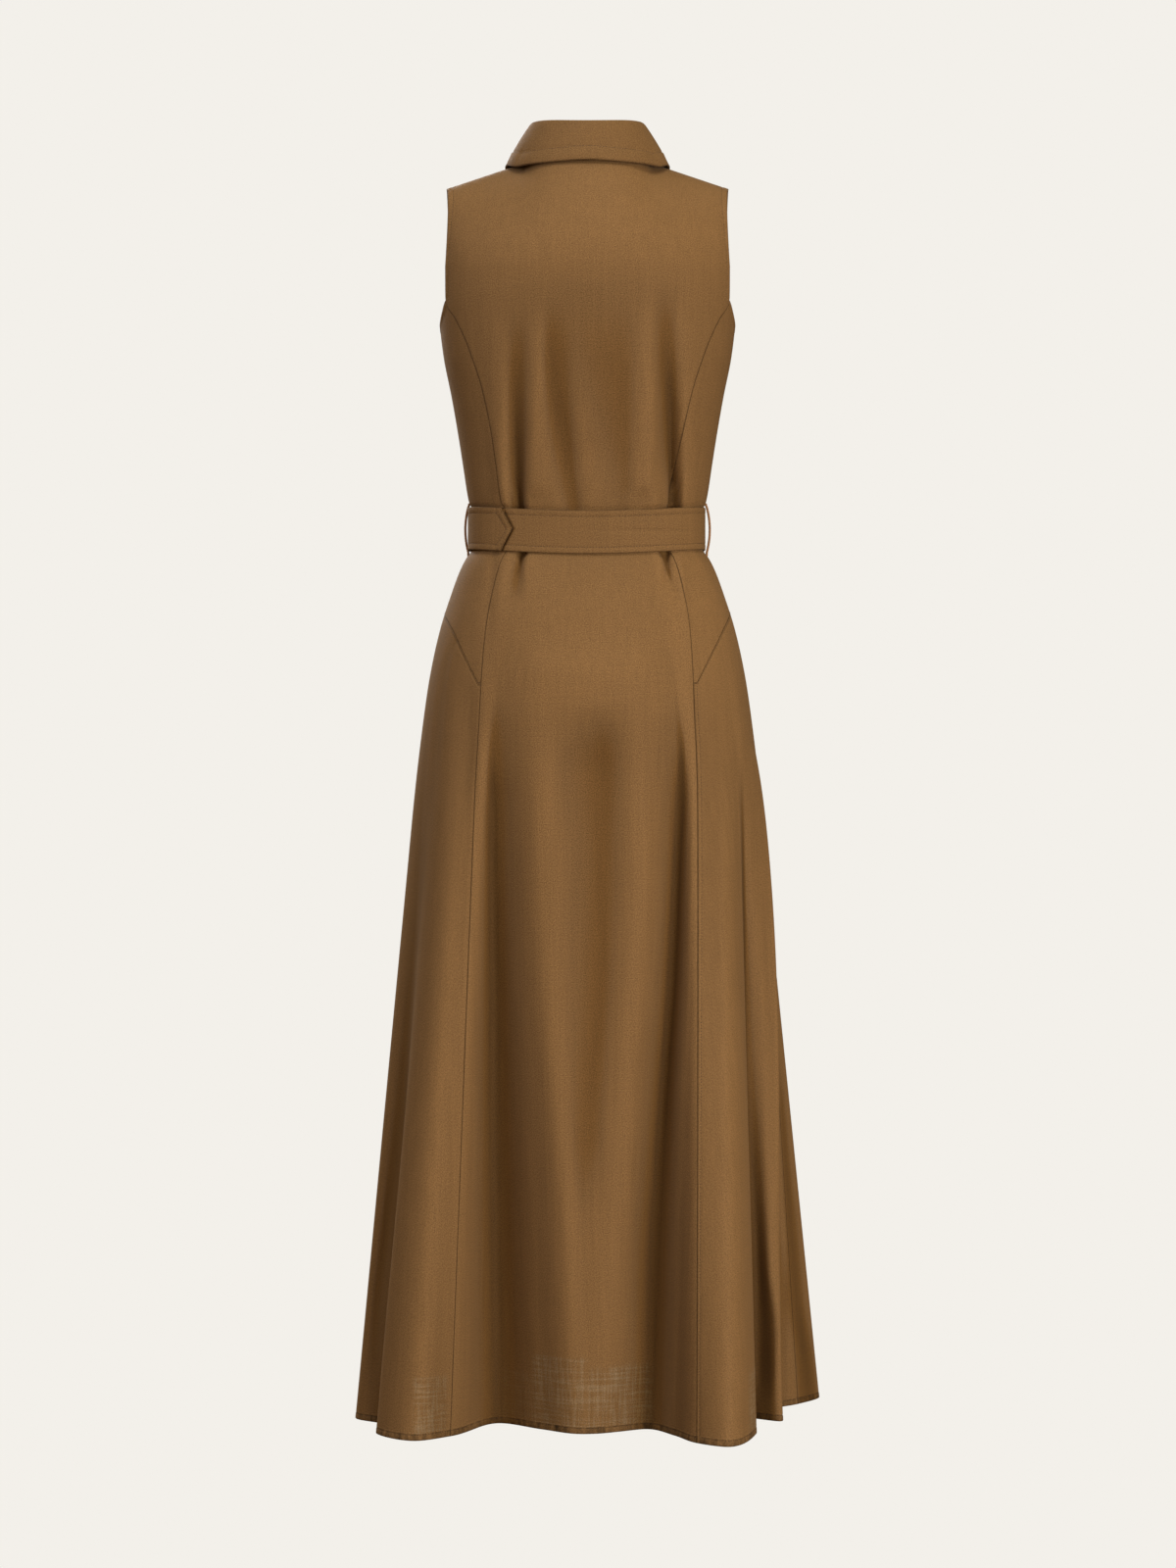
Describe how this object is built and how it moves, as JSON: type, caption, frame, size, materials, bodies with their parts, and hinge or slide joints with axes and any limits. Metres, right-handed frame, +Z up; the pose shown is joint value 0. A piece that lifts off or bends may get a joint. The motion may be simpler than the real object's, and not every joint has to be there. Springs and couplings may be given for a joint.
{
  "type": "shirt dress",
  "caption": "Full-length sleeveless shirt dress with turned-down collar, princess seams, button placket, slide belt and flared skirt, filled out as worn and open at neck, armholes and hem.",
  "frame": {"origin": "midway between the neck ends of the two shoulder seams, where the wearer's shoulders and neck hold the dress up", "axes": "+Z up along the wearer's body, -Y out of the back of the dress, +X to the wearer's right"},
  "size_m": [0.4893, 0.3885, 1.3524],
  "materials": {
    "cloth": "plain weave, matt with a faint sheen",
    "belt_cloth": "the same cloth over a stiff band",
    "thread": "twisted thread",
    "button": "satin"
  },
  "bodies": {
    "root": {"bodice_back_centre": "cloth", "bodice_back_side_left": "cloth", "bodice_back_side_right": "cloth", "bodice_front_left": "cloth", "bodice_front_right": "cloth", "collar_stand": "cloth", "collar_fall": "cloth", "skirt_back_centre": "cloth", "hip_yoke_left": "cloth", "hip_yoke_right": "cloth", "skirt_side_back_left": "cloth", "skirt_side_back_right": "cloth", "skirt_front_left": "cloth", "skirt_front_right": "cloth", "placket_under": "cloth", "placket_over": "cloth", "button_1": "button", "button_2": "button", "button_3": "button", "button_4": "button", "button_5": "button", "button_6": "button", "button_7": "button", "button_8": "button", "button_9": "button", "button_10": "button", "button_11": "button", "belt": "belt_cloth", "belt_slide": "belt_cloth", "thread_loop_left": "thread", "thread_loop_right": "thread"}
  },
  "joints": []
}
